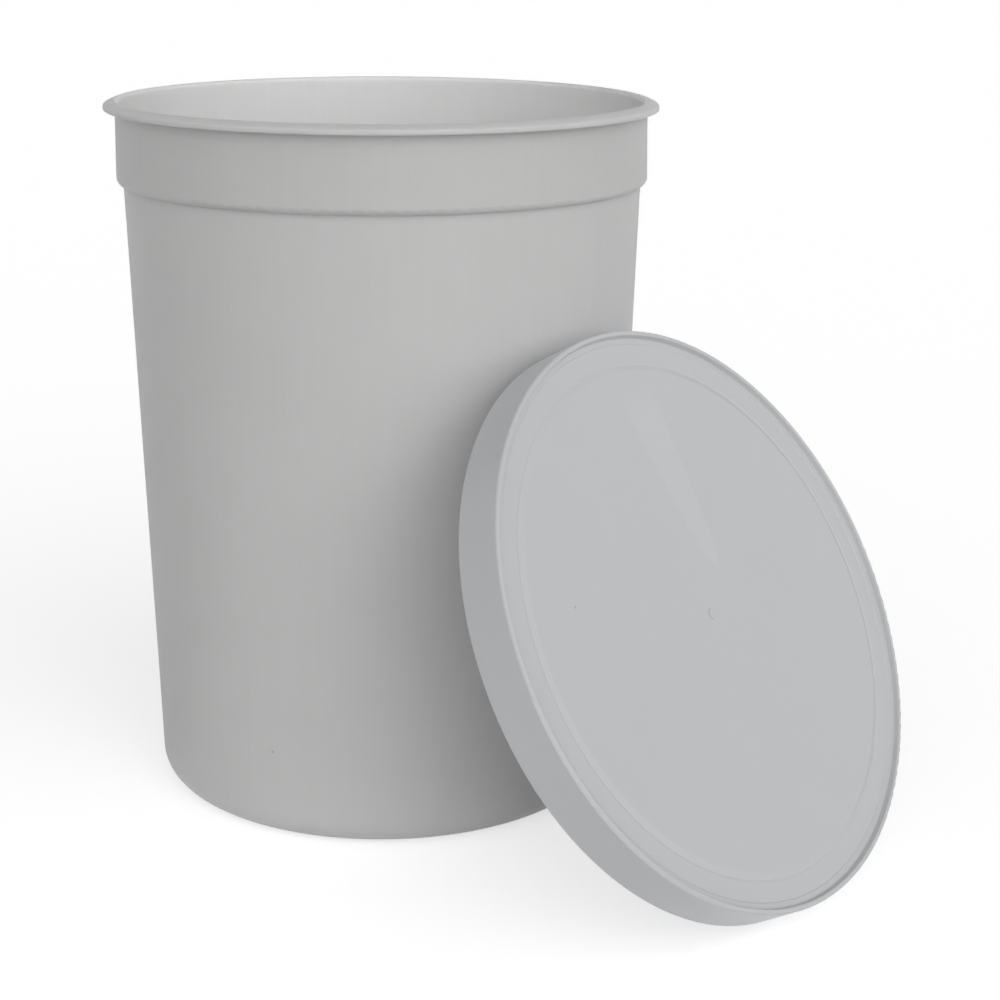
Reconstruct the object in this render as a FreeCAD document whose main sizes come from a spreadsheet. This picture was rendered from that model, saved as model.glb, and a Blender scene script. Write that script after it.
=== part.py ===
import FreeCAD, Part
import math
import os
import Sketcher

# A round moulded food tub of about 3.8 litres with its press-on lid taken off.
# Millimetres, +Z up. The tub stands on its foot ring, its axis is Z and the floor is Z = 0.
# The lid stands on edge on the floor beside the tub, on the +X side, and leans back against it.

doc = FreeCAD.newDocument("food_tub")
sheet = doc.addObject("Spreadsheet::Sheet", "sizes")

# Every row is one size that can be set by itself: name, value, what it is.
DRIVING_SIZES = [
    # the tub's rim and collar
    ("rim_radius", 86.5, "outer edge of the rim"),
    ("tub_height", 221.5, "floor to the top of the rim"),
    ("lip_reach", 3.6, "how far the rim stands out past the collar"),
    ("lip_height", 2.8, "height of the rim's turned-down edge"),
    ("lip_wall", 1.2, "thickness of the turned-down edge"),
    ("lip_flange", 1.7, "thickness of the rim at its crest"),
    ("crest_width", 2.0, "width of the rim's level crest"),
    ("lip_fall", 1.3, "how far the rim falls from its crest to its outer edge"),
    ("lip_round", 0.8, "rounding of the rim's upper outer edge"),
    ("collar_height", 25.5, "top of the rim to the collar's lower edge"),
    ("collar_flare", 0.4, "how much wider the collar is at its lower edge"),
    ("collar_wall", 1.3, "thickness of the collar"),
    ("collar_round", 2.0, "rounding of the collar's lower edge"),
    # the tub's body and base
    ("nest_clearance", 0.4, "a second tub's body inside this rim"),
    ("body_taper", 6.0, "radius lost from the shoulder to the floor"),
    ("body_wall", 1.1, "thickness of the body"),
    ("base_wall", 1.4, "thickness of the floor"),
    ("base_round", 9.4, "rounding where the body meets the floor"),
    ("base_lift", 1.2, "hollow under the floor inside the foot ring"),
    ("foot_band", 3.0, "width of the flat ring that the tub stands on"),
    ("foot_slope", 1.5, "inner slope of the foot ring"),
    ("gate_radius", 1.6, "stub left by the mould's gate, tub and lid"),
    ("gate_stub", 0.4, "height of that stub"),
    # the lid
    ("lid_wall", 0.9, "thickness of the lid"),
    ("lid_height", 14.6, "open edge to the top of the crown"),
    ("rim_clearance", 0.15, "skirt to the tub's rim when shut"),
    ("skirt_flare", 0.35, "how much wider the skirt is at its open edge"),
    ("edge_round", 0.3, "rounding of the skirt's open edge"),
    ("crown_round", 0.9, "rounding of the crown's outer edge"),
    ("crown_width", 1.5, "width of the raised crown"),
    ("crown_slope", 0.4, "inner slope of the crown"),
    ("crown_rise", 1.9, "crown above the ledge inside it"),
    ("ledge_width", 1.6, "width of the ledge inside the crown"),
    ("ledge_step", 0.3, "ledge above the channel"),
    ("channel_width", 5.6, "width of the flat channel"),
    ("groove_width", 0.7, "outer side of the groove round the middle panel"),
    ("groove_depth", 0.25, "that groove below the channel"),
    ("panel_rise", 0.45, "middle panel above the channel"),
    ("panel_slope", 1.9, "width of the slope from the groove up to the panel"),
    ("snap_grip", 0.5, "how far the snap bead reaches in under the rim"),
    ("snap_clearance", 0.15, "snap bead to the rim's lower edge when shut"),
    ("snap_lead", 1.5, "slope that lets the bead ride over the rim"),
    ("seal_clearance", 0.2, "seal ring to the inside of the rim when shut"),
    ("seal_depth", 3.4, "seal ring below the seat"),
    ("seal_taper", 0.3, "how much the seal ring narrows downwards"),
    # how the lid stands
    ("lean_angle", 29.5, "degrees that the lid leans back from upright"),
    ("lean_clearance", 0.15, "lid's edge to the tub's body"),
    ("lean_offset", -10.7, "lid's middle to the side of the tub's axis"),
]


class Size:
    """A length that knows its value and the expression that gives it."""

    def __init__(self, text, value):
        self.text = text
        self.value = value

    def __add__(self, other):
        return Size("%s + %s" % (self.text, other.text), self.value + other.value)

    def __sub__(self, other):
        return Size("%s - (%s)" % (self.text, other.text), self.value - other.value)


def fill_sheet():
    """Write the driving sizes into the spreadsheet and return each one by name."""
    sizes = {}
    for row, (alias, value, meaning) in enumerate(DRIVING_SIZES, start=1):
        sheet.set("A%d" % row, alias)
        sheet.set("B%d" % row, str(value))
        sheet.set("C%d" % row, meaning)
        sheet.setAlias("B%d" % row, alias)
        sizes[alias] = Size("sizes.%s" % alias, value)
    doc.recompute()
    return sizes


S = fill_sheet()
ZERO = Size("0", 0.0)


def corner(radius, height, rounding=None):
    """One corner of a section: distance from the axis, height, rounding."""
    return (radius, height, rounding)


def tangent_points(before, here, after, rounding):
    """Where a rounding starts and ends at a corner, and the middle of its arc."""
    to_before = (before - here).normalize()
    to_after = (after - here).normalize()
    half_angle = to_before.getAngle(to_after) / 2
    reach = rounding / math.tan(half_angle)
    start = here + to_before * reach
    end = here + to_after * reach
    bisector = (to_before + to_after).normalize()
    centre = here + bisector * (rounding / math.sin(half_angle))
    return start, end, centre


def bind(sketch, kind, geometry, point, size):
    """Fix a point's distance from the sketch's origin along X or Y to a size."""
    axis = -2 if kind == "DistanceX" else -1
    if size is ZERO:
        sketch.addConstraint(Sketcher.Constraint("PointOnObject", geometry, point, axis))
        return
    index = sketch.addConstraint(Sketcher.Constraint(kind, -1, 1, geometry, point, size.value))
    sketch.setExpression("Constraints[%d]" % index, size.text)


def section(body, name, corners):
    """A closed section in the XZ plane through these corners, fully constrained."""
    sketch = body.newObject("Sketcher::SketchObject", name)
    planes = body.Origin.OriginFeatures
    sketch.AttachmentSupport = [([p for p in planes if p.Role == "XZ_Plane"][0], "")]
    sketch.MapMode = "FlatFace"
    places = [FreeCAD.Vector(r.value, z.value, 0) for r, z, rounding in corners]
    count = len(corners)
    starts = []
    ends = []
    centres = []
    for i, (r, z, rounding) in enumerate(corners):
        if rounding is None:
            starts.append(places[i])
            ends.append(places[i])
            centres.append(None)
            continue
        start, end, centre = tangent_points(
            places[i - 1], places[i], places[(i + 1) % count], rounding.value)
        starts.append(start)
        ends.append(end)
        centres.append(centre)
    for i in range(count):
        sketch.addGeometry(Part.LineSegment(ends[i], starts[(i + 1) % count]), False)
    for i, (r, z, rounding) in enumerate(corners):
        before = (i - 1) % count
        if rounding is None:
            sketch.addConstraint(Sketcher.Constraint("Coincident", before, 2, i, 1))
            bind(sketch, "DistanceX", i, 1, r)
            bind(sketch, "DistanceY", i, 1, z)
            continue
        middle = centres[i]
        first = math.atan2(starts[i].y - middle.y, starts[i].x - middle.x)
        last = math.atan2(ends[i].y - middle.y, ends[i].x - middle.x)
        turns_left = (starts[i] - middle).cross(ends[i] - middle).z > 0
        circle = Part.Circle(middle, FreeCAD.Vector(0, 0, 1), rounding.value)
        from_angle, to_angle = (first, last) if turns_left else (last, first)
        arc = sketch.addGeometry(Part.ArcOfCircle(circle, from_angle, to_angle), False)
        near, far = (1, 2) if turns_left else (2, 1)
        point = sketch.addGeometry(Part.Point(places[i]), True)
        bind(sketch, "DistanceX", point, 1, r)
        bind(sketch, "DistanceY", point, 1, z)
        sketch.addConstraint(Sketcher.Constraint("PointOnObject", point, 1, before))
        sketch.addConstraint(Sketcher.Constraint("PointOnObject", point, 1, i))
        sketch.addConstraint(Sketcher.Constraint("Tangent", before, 2, arc, near))
        sketch.addConstraint(Sketcher.Constraint("Tangent", arc, far, i, 1))
        index = sketch.addConstraint(Sketcher.Constraint("Radius", arc, rounding.value))
        sketch.setExpression("Constraints[%d]" % index, rounding.text)
    return sketch


def turned_body(name, corners):
    """A body made by turning one section round the Z axis."""
    body = doc.addObject("PartDesign::Body", name)
    body.Label = name
    sketch = section(body, name + "_section", corners)
    doc.recompute()
    turned = body.newObject("PartDesign::Revolution", name + "_turned")
    turned.Profile = sketch
    turned.ReferenceAxis = (sketch, ["V_Axis"])
    turned.Angle = 360
    sketch.Visibility = False
    doc.recompute()
    return body


def rounded(value):
    """A small edge rounding that no other size depends on."""
    return Size(str(value), value)


# --- the tub -----------------------------------------------------------------
# One injection moulding: a flanged rim with a turned-down edge, a collar that steps
# out from the body, a drafted body and a floor raised inside a foot ring. Nested tubs
# stop where the upper one's collar meets the rim of the lower one.

collar_top_radius = S["rim_radius"] - S["lip_reach"]
collar_foot_radius = collar_top_radius + S["collar_flare"]
rim_inner_radius = collar_top_radius - S["collar_wall"]
body_top_radius = rim_inner_radius - S["nest_clearance"]
body_foot_radius = body_top_radius - S["body_taper"]
shoulder_height = S["tub_height"] - S["collar_height"]
shoulder_top = shoulder_height + S["body_wall"]
flange_underside = S["tub_height"] - S["lip_flange"]
lip_bottom = S["tub_height"] - S["lip_height"]
lip_inner_radius = S["rim_radius"] - S["lip_wall"]
lip_top = S["tub_height"] - S["lip_fall"]
crest_radius = rim_inner_radius + S["crest_width"]
foot_inner_radius = body_foot_radius - S["base_round"] - S["foot_band"]
floor_edge_radius = foot_inner_radius - S["foot_slope"]
floor_top = S["base_lift"] + S["base_wall"]

tub = turned_body("tub", [
    corner(ZERO, S["base_lift"] - S["gate_stub"]),
    corner(S["gate_radius"], S["base_lift"] - S["gate_stub"]),
    corner(S["gate_radius"], S["base_lift"]),
    corner(floor_edge_radius, S["base_lift"], rounded(0.8)),
    corner(foot_inner_radius, ZERO, rounded(0.5)),
    corner(body_foot_radius, ZERO, S["base_round"]),
    corner(body_top_radius, shoulder_height),
    corner(collar_foot_radius, shoulder_height, S["collar_round"]),
    corner(collar_top_radius, flange_underside, rounded(0.3)),
    corner(lip_inner_radius, flange_underside, rounded(0.3)),
    corner(lip_inner_radius, lip_bottom, rounded(0.3)),
    corner(S["rim_radius"], lip_bottom, rounded(0.4)),
    corner(S["rim_radius"], lip_top, S["lip_round"]),
    corner(crest_radius, S["tub_height"], rounded(3.0)),
    corner(rim_inner_radius, S["tub_height"], rounded(1.2)),
    corner(collar_foot_radius - S["collar_wall"], shoulder_top, rounded(0.7)),
    corner(body_top_radius - S["body_wall"], shoulder_top, rounded(0.8)),
    corner(body_foot_radius - S["body_wall"], S["base_wall"], S["base_round"] - S["body_wall"]),
    corner(foot_inner_radius, S["base_wall"], rounded(0.8)),
    corner(floor_edge_radius, floor_top, rounded(0.5)),
    corner(ZERO, floor_top),
])

# --- the lid -----------------------------------------------------------------
# One thin moulding, drawn lying open side down: a skirt with a snap bead that catches
# under the tub's rim, a raised crown round the edge, a ledge, a flat channel whose
# underside seats on the rim, a seal ring that fits inside the rim, and a middle panel
# that rises a little from a shallow groove.

skirt_inner_radius = S["rim_radius"] + S["rim_clearance"]
crown_radius = skirt_inner_radius + S["lid_wall"]
edge_radius = crown_radius + S["skirt_flare"]
crown_inner_radius = crown_radius - S["crown_width"]
crown_foot_radius = crown_inner_radius - S["crown_slope"]
ledge_inner_radius = crown_foot_radius - S["ledge_width"]
channel_outer_radius = ledge_inner_radius - S["ledge_step"]
channel_inner_radius = channel_outer_radius - S["channel_width"]
groove_radius = channel_inner_radius - S["groove_width"]
panel_radius = groove_radius - S["panel_slope"]
ledge_top = S["lid_height"] - S["crown_rise"]
channel_top = ledge_top - S["ledge_step"]
groove_bottom = channel_top - S["groove_depth"]
panel_top = channel_top + S["panel_rise"]
seat = channel_top - S["lid_wall"]
snap_top = seat - S["lip_height"] - S["snap_clearance"]
snap_middle = snap_top - S["snap_grip"]
seal_outer_radius = rim_inner_radius - S["seal_clearance"]
seal_inner_radius = seal_outer_radius - S["lid_wall"] - S["seal_taper"]
seal_bottom = seat - S["seal_depth"]

lid = turned_body("lid", [
    corner(ZERO, panel_top + S["gate_stub"]),
    corner(S["gate_radius"], panel_top + S["gate_stub"]),
    corner(S["gate_radius"], panel_top),
    corner(panel_radius, panel_top, rounded(1.2)),
    corner(groove_radius, groove_bottom, rounded(0.3)),
    corner(channel_inner_radius, channel_top, rounded(0.5)),
    corner(channel_outer_radius, channel_top, rounded(0.2)),
    corner(ledge_inner_radius, ledge_top, rounded(0.2)),
    corner(crown_foot_radius, ledge_top, rounded(0.3)),
    corner(crown_inner_radius, S["lid_height"], rounded(0.4)),
    corner(crown_radius, S["lid_height"], S["crown_round"]),
    corner(edge_radius, ZERO, S["edge_round"]),
    corner(edge_radius - S["lid_wall"], ZERO, S["edge_round"]),
    corner(skirt_inner_radius, snap_middle - S["snap_lead"]),
    corner(S["rim_radius"] - S["snap_grip"], snap_middle, rounded(0.25)),
    corner(skirt_inner_radius, snap_top),
    corner(skirt_inner_radius, seat, rounded(0.3)),
    corner(seal_outer_radius, seat, rounded(0.2)),
    corner(seal_outer_radius - S["seal_taper"], seal_bottom, rounded(0.3)),
    corner(seal_inner_radius, seal_bottom, rounded(0.3)),
    corner(seal_inner_radius, seat, rounded(0.3)),
    corner(groove_radius - S["panel_rise"], seat, rounded(1.0)),
    corner(panel_radius - S["panel_rise"], panel_top - S["lid_wall"], rounded(1.0)),
    corner(ZERO, panel_top - S["lid_wall"]),
])


def body_radius_at(height):
    """Outer radius of the tub's drafted body at this height."""
    share = height / shoulder_height.value
    return body_foot_radius.value + S["body_taper"].value * share


def stand_lid():
    """Stand the lid on its edge and lean it back until its edge meets the tub's body."""
    lean = math.radians(S["lean_angle"].value)
    radius = edge_radius.value
    # the rounded edge reaches less far, down and sideways, than a sharp one would
    edge_loss = S["edge_round"].value * (math.cos(lean) + math.sin(lean) - 1)
    height = radius * math.cos(lean) - edge_loss
    half_depth = radius * math.sin(lean) - edge_loss
    body_radius = body_radius_at(2 * height) + S["lean_clearance"].value
    # seen from above the lid's edge is an oval; two round outlines that meet off
    # centre come closer by the offset squared over twice the sum of their radii
    oval_radius = radius * radius / half_depth
    off_centre = S["lean_offset"].value ** 2 / (2 * (body_radius + oval_radius))
    middle_x = body_radius + half_depth - off_centre
    turn = FreeCAD.Rotation(FreeCAD.Vector(0, 1, 0), 90 - S["lean_angle"].value)
    middle = FreeCAD.Vector(middle_x, S["lean_offset"].value, height)
    lid.Placement = FreeCAD.Placement(middle, turn)


stand_lid()
doc.recompute()


def write_parts():
    """Check every object and write each sub-part to its own STEP file."""
    for item in doc.Objects:
        if "Invalid" in item.State or "Error" in item.State:
            raise RuntimeError("%s did not build: %s" % (item.Name, item.State))
    os.makedirs("parts", exist_ok=True)
    for body in (tub, lid):
        shape = body.Shape
        if shape.isNull() or not shape.isValid() or len(shape.Solids) != 1:
            raise RuntimeError("%s is not one valid solid" % body.Label)
        shape.exportStep(os.path.join("parts", body.Label + ".step"))
        box = shape.optimalBoundingBox(False)
        print("%-4s volume %8.1f  x %.2f..%.2f  y %.2f..%.2f  z %.3f..%.3f" % (
            body.Label, shape.Volume, box.XMin, box.XMax, box.YMin, box.YMax, box.ZMin, box.ZMax))


write_parts()
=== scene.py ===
import bpy
import math
from mathutils import Matrix, Vector


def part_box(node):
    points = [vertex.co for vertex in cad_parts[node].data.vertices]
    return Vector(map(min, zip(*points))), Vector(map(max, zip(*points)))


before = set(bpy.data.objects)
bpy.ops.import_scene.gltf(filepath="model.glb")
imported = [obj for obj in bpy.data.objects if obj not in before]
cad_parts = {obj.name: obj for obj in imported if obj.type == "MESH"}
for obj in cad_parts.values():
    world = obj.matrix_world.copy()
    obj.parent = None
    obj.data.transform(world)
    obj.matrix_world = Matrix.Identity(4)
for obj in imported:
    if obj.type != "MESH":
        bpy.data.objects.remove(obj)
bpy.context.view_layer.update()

scene = bpy.context.scene
scene.view_settings.view_transform = "Standard"

# --- camera ------------------------------------------------------------------
# It stands a little above the tub's rim and looks down at it and at the lid, which
# leans on the tub's near right side.

tub_low, tub_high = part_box("tub")
rim_radius = tub_high.x
tub_height = tub_high.z
camera_azimuth = math.radians(41.206)
camera_distance = 7.6927 * rim_radius
camera_height = 3.2368 * rim_radius
camera_turn = math.radians(3.233)
camera_dip = math.radians(15.912)
camera_roll = math.radians(0.381)

forward_azimuth = camera_azimuth - camera_turn
forward = Vector((
    -math.sin(forward_azimuth) * math.cos(camera_dip),
    math.cos(forward_azimuth) * math.cos(camera_dip),
    -math.sin(camera_dip),
))
level_right = Vector((math.cos(forward_azimuth), math.sin(forward_azimuth), 0))
level_up = level_right.cross(forward)
right = level_right * math.cos(camera_roll) + level_up * math.sin(camera_roll)
up = level_up * math.cos(camera_roll) - level_right * math.sin(camera_roll)

camera_data = bpy.data.cameras.new("camera")
camera_data.sensor_width = 36
camera_data.lens = 2.0905 * camera_data.sensor_width
camera = bpy.data.objects.new("camera", camera_data)
scene.collection.objects.link(camera)
camera_place = Matrix.Identity(4)
for row in range(3):
    camera_place[row][0] = right[row]
    camera_place[row][1] = up[row]
    camera_place[row][2] = -forward[row]
camera_place[0][3] = camera_distance * math.sin(camera_azimuth)
camera_place[1][3] = -camera_distance * math.cos(camera_azimuth)
camera_place[2][3] = camera_height
camera.matrix_world = camera_place
scene.camera = camera

# --- white room --------------------------------------------------------------
# A plain white table top in a white room. Soft daylight comes in from low down: most
# from a wide window to the front right, less from the walls in front and behind.

floor_size = 12
floor_drop = 0.0003
floor_colour = (0.8, 0.8, 0.8, 1)
floor_whitening = 0.6
white = (1, 1, 1, 1)
window_azimuth = math.radians(-20)
window_rise = math.radians(20)
window_focus = 4
window_strength = 2.15
front_wall_strength = 0.68
back_wall_strength = 0.3


def math_node(tree, operation, first, second=None, third=None):
    """A Math node in this tree, from sockets or plain numbers: its output."""
    node = tree.nodes.new("ShaderNodeMath")
    node.operation = operation
    for socket, value in zip(node.inputs, (first, second, third)):
        if isinstance(value, (int, float)):
            socket.default_value = value
        elif value is not None:
            tree.links.new(value, socket)
    return node.outputs[0]


def vector_node(tree, operation, first, second=None):
    """A Vector Math node in this tree, from sockets or plain vectors: its output."""
    node = tree.nodes.new("ShaderNodeVectorMath")
    node.operation = operation
    for socket, value in zip(node.inputs, (first, second)):
        if isinstance(value, tuple):
            socket.default_value = value
        elif value is not None:
            tree.links.new(value, socket)
    return node.outputs["Value" if operation == "DOT_PRODUCT" else "Vector"]


def looked_at(tree):
    """1 where the camera sees this straight, in a reflection or through glass."""
    path = tree.nodes.new("ShaderNodeLightPath")
    seen = math_node(tree, "MAXIMUM", path.outputs["Is Camera Ray"], path.outputs["Is Glossy Ray"])
    return math_node(tree, "MAXIMUM", seen, path.outputs["Is Transmission Ray"])


bpy.ops.object.select_all(action="DESELECT")
bpy.ops.mesh.primitive_plane_add(size=floor_size, location=(0, 0, -floor_drop))
floor = bpy.context.object
floor.name = "floor"

# matt paint that looks pure white wherever nothing shades it
floor_paint = bpy.data.materials.new("floor_paint")
floor_paint.use_nodes = True
tree = floor_paint.node_tree
tree.nodes.clear()
output = tree.nodes.new("ShaderNodeOutputMaterial")
matt = tree.nodes.new("ShaderNodeBsdfDiffuse")
matt.inputs["Color"].default_value = floor_colour
whitener = tree.nodes.new("ShaderNodeEmission")
whitener.inputs["Color"].default_value = white
both = tree.nodes.new("ShaderNodeAddShader")
whitening = math_node(tree, "MULTIPLY", looked_at(tree), floor_whitening)
tree.links.new(whitening, whitener.inputs["Strength"])
tree.links.new(matt.outputs[0], both.inputs[0])
tree.links.new(whitener.outputs[0], both.inputs[1])
tree.links.new(both.outputs[0], output.inputs["Surface"])
floor.data.materials.append(floor_paint)

room = bpy.data.worlds.new("white_room")
scene.world = room
room.use_nodes = True
tree = room.node_tree
tree.nodes.clear()
output = tree.nodes.new("ShaderNodeOutputWorld")
background = tree.nodes.new("ShaderNodeBackground")
background.inputs["Color"].default_value = white
direction = tree.nodes.new("ShaderNodeTexCoord").outputs["Generated"]

# the window's glow, strongest straight towards it
to_window = (
    math.cos(window_azimuth) * math.cos(window_rise),
    math.sin(window_azimuth) * math.cos(window_rise),
    math.sin(window_rise),
)
window = math_node(tree, "MAXIMUM", vector_node(tree, "DOT_PRODUCT", direction, to_window), 0)
window = math_node(tree, "POWER", window, window_focus)

# the walls' glow, level with the floor: the front wall is towards -Y
axes = tree.nodes.new("ShaderNodeSeparateXYZ")
tree.links.new(direction, axes.inputs[0])
both_walls = (front_wall_strength + back_wall_strength) / 2
front_extra = (front_wall_strength - back_wall_strength) / 2
walls = math_node(tree, "MULTIPLY", math_node(tree, "ABSOLUTE", axes.outputs["Y"]), both_walls)
walls = math_node(tree, "MULTIPLY_ADD", axes.outputs["Y"], -front_extra, walls)
daylight = math_node(tree, "MULTIPLY_ADD", window, window_strength, walls)

# to look at, the room is plain white
level = tree.nodes.new("ShaderNodeMix")
level.inputs["B"].default_value = 1
tree.links.new(looked_at(tree), level.inputs["Factor"])
tree.links.new(daylight, level.inputs["A"])
tree.links.new(level.outputs["Result"], background.inputs["Strength"])
tree.links.new(background.outputs[0], output.inputs["Surface"])

# --- tub ---------------------------------------------------------------------
# One injection moulding in white polyethylene, open and empty. Its thin wall lets some
# light through, and the inside's extra lightness from that light is painted into its
# colour. It came off its core with a soft satin skin, a little cloudy, and with faint
# upright draw marks.

# the foot's lighter colour is painted bounce light from the table, and the collar's darker colour
# is painted shade
painted_bounce_foot_colour = (0.67, 0.67, 0.668, 1)
shoulder_colour = (0.615, 0.615, 0.612, 1)
painted_shade_collar_colour = (0.59, 0.59, 0.587, 1)
# the inside's colour is lifted with painted light, for the light that passes through the wall
painted_light_inside_colour = (0.85, 0.85, 0.846, 1)
collar_foot = 0.885 * tub_height


def smooth_step(tree, value, start, end):
    """A soft step from 0 at start to 1 at end: its output."""
    step = tree.nodes.new("ShaderNodeMapRange")
    step.interpolation_type = "SMOOTHSTEP"
    step.inputs["From Min"].default_value = start
    step.inputs["From Max"].default_value = end
    tree.links.new(value, step.inputs["Value"])
    return step.outputs["Result"]


def moulded_skin():
    """The skin of a white polyethylene moulding, as a group that both pieces use."""
    group = bpy.data.node_groups.new("moulded_skin", "ShaderNodeTree")
    for name, side, kind in (
            ("Colour", "INPUT", "NodeSocketColor"),
            ("Roughness", "INPUT", "NodeSocketFloat"),
            ("Cloudiness", "INPUT", "NodeSocketFloat"),
            ("Cloud Size", "INPUT", "NodeSocketFloat"),
            ("Grain Size", "INPUT", "NodeSocketFloat"),
            ("Draw Marks", "INPUT", "NodeSocketFloat"),
            ("Colour", "OUTPUT", "NodeSocketColor"),
            ("Roughness", "OUTPUT", "NodeSocketFloat"),
            ("Height", "OUTPUT", "NodeSocketFloat")):
        group.interface.new_socket(name, in_out=side, socket_type=kind)
    given = group.nodes.new("NodeGroupInput").outputs
    result = group.nodes.new("NodeGroupOutput").inputs
    place = group.nodes.new("ShaderNodeTexCoord").outputs["Object"]

    def noise(vector, scale, detail):
        """Soft values about 0 that wander over the surface."""
        node = group.nodes.new("ShaderNodeTexNoise")
        node.inputs["Detail"].default_value = detail
        group.links.new(vector, node.inputs["Vector"])
        group.links.new(scale, node.inputs["Scale"])
        return math_node(group, "SUBTRACT", node.outputs["Fac"], 0.5)

    grain_scale = math_node(group, "DIVIDE", 1, given["Grain Size"])
    clouds = noise(place, math_node(group, "DIVIDE", 1, given["Cloud Size"]), 2)
    grain = noise(place, grain_scale, 1)

    # draw marks: coarser grain, drawn out fifty times as long up the wall
    drawn_out = group.nodes.new("ShaderNodeMapping")
    drawn_out.inputs["Scale"].default_value = (1, 1, 1 / 50)
    group.links.new(place, drawn_out.inputs["Vector"])
    marks = noise(drawn_out.outputs[0], math_node(group, "MULTIPLY", grain_scale, 0.4), 1)
    marks = math_node(group, "MULTIPLY", marks, given["Draw Marks"])

    # specks: a dark grain of under a millimetre in the middle of one cell in seven
    speck_cells_per_metre = 55
    cells = group.nodes.new("ShaderNodeTexVoronoi")
    cells.inputs["Scale"].default_value = speck_cells_per_metre
    group.links.new(place, cells.inputs["Vector"])
    lots = group.nodes.new("ShaderNodeSeparateColor")
    group.links.new(cells.outputs["Color"], lots.inputs[0])
    chosen = math_node(group, "GREATER_THAN", lots.outputs[0], 0.86)
    specks = smooth_step(group, cells.outputs["Distance"], 0.035, 0.015)
    specks = math_node(group, "MULTIPLY", specks, chosen)

    # how far each of them goes in the colour, the shine and the relief
    mark_tone, speck_tone = 0.6, -0.3
    cloud_shine = 0.16
    grain_height, cloud_height, mark_height = 0.5, 1.5, 8
    tone = math_node(group, "MULTIPLY_ADD", clouds, given["Cloudiness"], 1)
    tone = math_node(group, "MULTIPLY_ADD", marks, mark_tone, tone)
    tone = math_node(group, "MULTIPLY_ADD", specks, speck_tone, tone)
    toned = group.nodes.new("ShaderNodeVectorMath")
    toned.operation = "SCALE"
    group.links.new(given["Colour"], toned.inputs[0])
    group.links.new(tone, toned.inputs["Scale"])
    group.links.new(toned.outputs[0], result["Colour"])
    roughness = math_node(group, "MULTIPLY_ADD", clouds, cloud_shine, given["Roughness"])
    group.links.new(roughness, result["Roughness"])
    relief = math_node(group, "MULTIPLY", clouds, cloud_height)
    relief = math_node(group, "MULTIPLY_ADD", grain, grain_height, relief)
    relief = math_node(group, "MULTIPLY_ADD", marks, mark_height, relief)
    group.links.new(relief, result["Height"])
    return group


skin = moulded_skin()


def polyethylene(name, finish):
    """White polyethylene with this finish on its skin: the material, shader and skin."""
    material = bpy.data.materials.new(name)
    material.use_nodes = True
    tree = material.node_tree
    shader = tree.nodes["Principled BSDF"]
    shader.inputs["IOR"].default_value = 1.5
    own_skin = tree.nodes.new("ShaderNodeGroup")
    own_skin.node_tree = skin
    for socket, value in finish.items():
        own_skin.inputs[socket].default_value = value
    bump = tree.nodes.new("ShaderNodeBump")
    bump.inputs["Strength"].default_value = 0.25
    bump.inputs["Distance"].default_value = 0.00006
    tree.links.new(own_skin.outputs["Colour"], shader.inputs["Base Color"])
    tree.links.new(own_skin.outputs["Roughness"], shader.inputs["Roughness"])
    tree.links.new(own_skin.outputs["Height"], bump.inputs["Height"])
    tree.links.new(bump.outputs[0], shader.inputs["Normal"])
    return material, shader, own_skin


tub_plastic, tub_shader, tub_skin = polyethylene("tub_plastic", {
    "Roughness": 0.45,
    "Cloudiness": 0.05,
    "Cloud Size": 0.03,
    "Grain Size": 0.0006,
    "Draw Marks": 0.05,
})
tub_shader.inputs["Subsurface Weight"].default_value = 1
tub_shader.inputs["Subsurface Radius"].default_value = (1, 1, 1)
tub_shader.inputs["Subsurface Scale"].default_value = 0.003
tree = tub_plastic.node_tree
place = tree.nodes.new("ShaderNodeTexCoord")

# the outside holds painted light: painted bounce light from the table pales it towards the foot,
# and painted shade makes the collar and rim the darkest
up_wall = tree.nodes.new("ShaderNodeSeparateXYZ")
tree.links.new(place.outputs["Object"], up_wall.inputs[0])
outside = tree.nodes.new("ShaderNodeValToRGB")
painted_bounce_foot_tone, shoulder_tone = outside.color_ramp.elements
painted_bounce_foot_tone.position = 0.05
painted_bounce_foot_tone.color = painted_bounce_foot_colour
shoulder_tone.position = 0.99
shoulder_tone.color = shoulder_colour
painted_shade_collar_tone = outside.color_ramp.elements.new(1)
painted_shade_collar_tone.color = painted_shade_collar_colour
tree.links.new(math_node(tree, "DIVIDE", up_wall.outputs["Z"], collar_foot), outside.inputs[0])

# the inside is where the surface faces the tub's axis; its colour there is lifted as painted light
outward = vector_node(tree, "MULTIPLY", place.outputs["Object"], (1, 1, 0))
outward = vector_node(tree, "NORMALIZE", outward)
facing_out = vector_node(tree, "DOT_PRODUCT", outward, place.outputs["Normal"])
inside = tree.nodes.new("ShaderNodeMapRange")
inside.inputs["From Min"].default_value = 0.2
inside.inputs["From Max"].default_value = -0.4
tree.links.new(facing_out, inside.inputs["Value"])
tub_colour = tree.nodes.new("ShaderNodeMix")
tub_colour.data_type = "RGBA"
tub_colour.inputs["B"].default_value = painted_light_inside_colour
tree.links.new(inside.outputs["Result"], tub_colour.inputs["Factor"])
tree.links.new(outside.outputs["Color"], tub_colour.inputs["A"])
tree.links.new(tub_colour.outputs["Result"], tub_skin.inputs["Colour"])

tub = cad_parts["tub"]
tub.data.materials.clear()
tub.data.materials.append(tub_plastic)

# --- lid ---------------------------------------------------------------------
# One thin moulding in a softer, slightly cooler white polyethylene, filled from a gate
# in its middle. It leans on its edge against the tub. A feather of painted highlight stands
# in for the light that a slight warp of the middle panel catches, from beside the gate up
# towards the edge.

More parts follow.
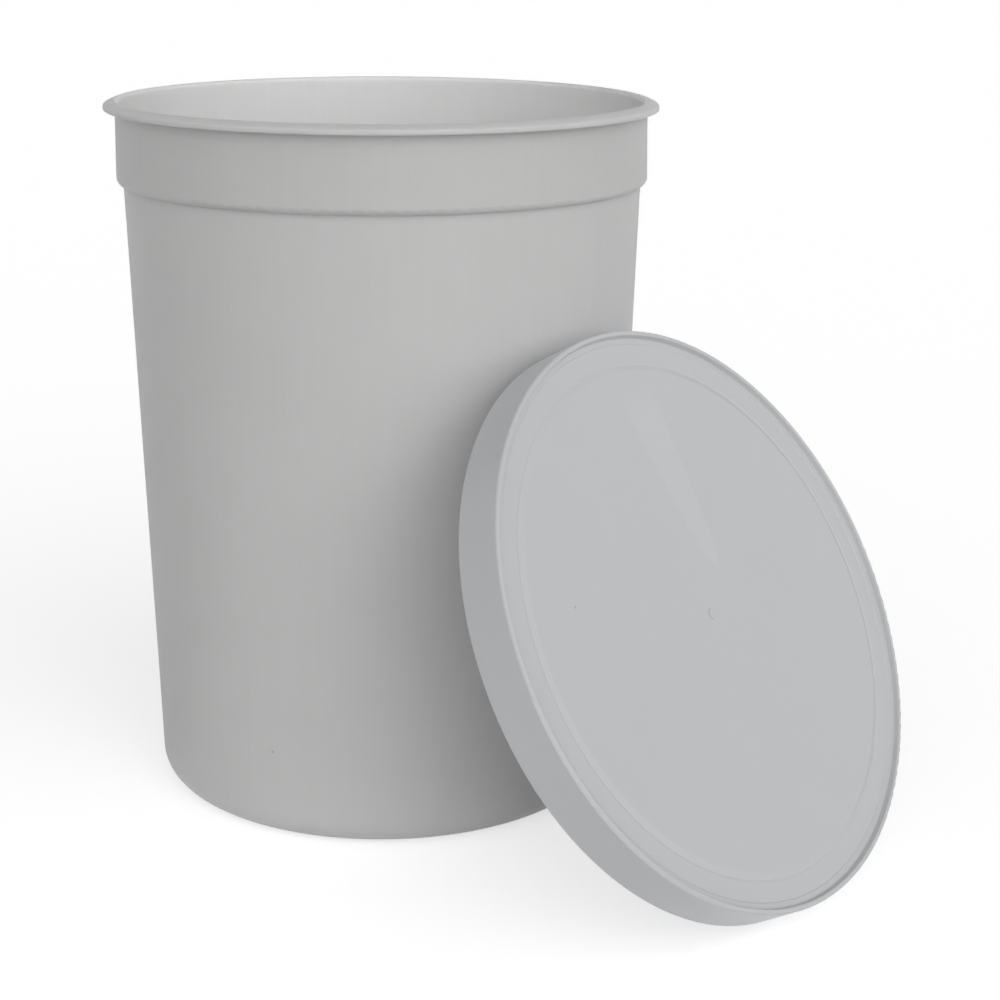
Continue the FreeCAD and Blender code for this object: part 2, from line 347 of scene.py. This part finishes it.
lid_low, lid_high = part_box("lid")
lid_radius = (lid_high.y - lid_low.y) / 2
lid_depth = 0.0146
lean = math.radians(29.5)
feather_foot = 0.0115
feather_length = 0.058
feather_half_width = 0.0082
feather_side = 0.0115
feather_slant = 0.0045
lid_colour = (0.588, 0.595, 0.61, 1)
# the feather's paler colour is a painted highlight
feather_highlight_colour = (0.608, 0.615, 0.63, 1)

lid_plastic, _, lid_skin = polyethylene("lid_plastic", {
    "Roughness": 0.34,
    "Cloudiness": 0.03,
    "Cloud Size": 0.024,
    "Grain Size": 0.0005,
    "Draw Marks": 0,
})
tree = lid_plastic.node_tree

# places on the lid: X is down its slant, Y is level and Z is out of its face
place = tree.nodes.new("ShaderNodeTexCoord")
on_lid = tree.nodes.new("ShaderNodeMapping")
on_lid.vector_type = "TEXTURE"
on_lid.inputs["Location"].default_value = (
    lid_low.x + lid_radius * math.sin(lean),
    (lid_low.y + lid_high.y) / 2,
    lid_low.z + lid_radius * math.cos(lean),
)
on_lid.inputs["Rotation"].default_value = (0, math.pi / 2 - lean, 0)
spot = tree.nodes.new("ShaderNodeSeparateXYZ")
tree.links.new(place.outputs["Object"], on_lid.inputs["Vector"])
tree.links.new(on_lid.outputs[0], spot.inputs[0])

# the feather of painted highlight widens from a blunt point beside the gate, and fades out at its
# top
along = math_node(tree, "ADD", spot.outputs["X"], feather_foot)
along = math_node(tree, "DIVIDE", along, -feather_length)
half_width = math_node(tree, "POWER", math_node(tree, "MAXIMUM", along, 0), 0.4)
half_width = math_node(tree, "MULTIPLY", half_width, feather_half_width)
middle_line = math_node(tree, "MULTIPLY_ADD", along, -feather_slant, feather_side)
off_line = math_node(tree, "SUBTRACT", spot.outputs["Y"], middle_line)
off_line = math_node(tree, "ABSOLUTE", off_line)
feather_highlight_mask = math_node(tree, "SUBTRACT", half_width, off_line)
feather_highlight_mask = smooth_step(tree, feather_highlight_mask, -0.0008, 0.0014)
feather_highlight_mask = math_node(tree, "MULTIPLY", feather_highlight_mask, smooth_step(tree, along, 1.02, 0.86))
on_face = math_node(tree, "GREATER_THAN", spot.outputs["Z"], 0.8 * lid_depth)
feather_highlight_mask = math_node(tree, "MULTIPLY", feather_highlight_mask, on_face)
# painted highlight: the feather is mixed in paler than the lid's own colour
painted_highlight = tree.nodes.new("ShaderNodeMix")
painted_highlight.data_type = "RGBA"
painted_highlight.inputs["A"].default_value = lid_colour
painted_highlight.inputs["B"].default_value = feather_highlight_colour
tree.links.new(feather_highlight_mask, painted_highlight.inputs["Factor"])
tree.links.new(painted_highlight.outputs["Result"], lid_skin.inputs["Colour"])

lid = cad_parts["lid"]
lid.data.materials.clear()
lid.data.materials.append(lid_plastic)
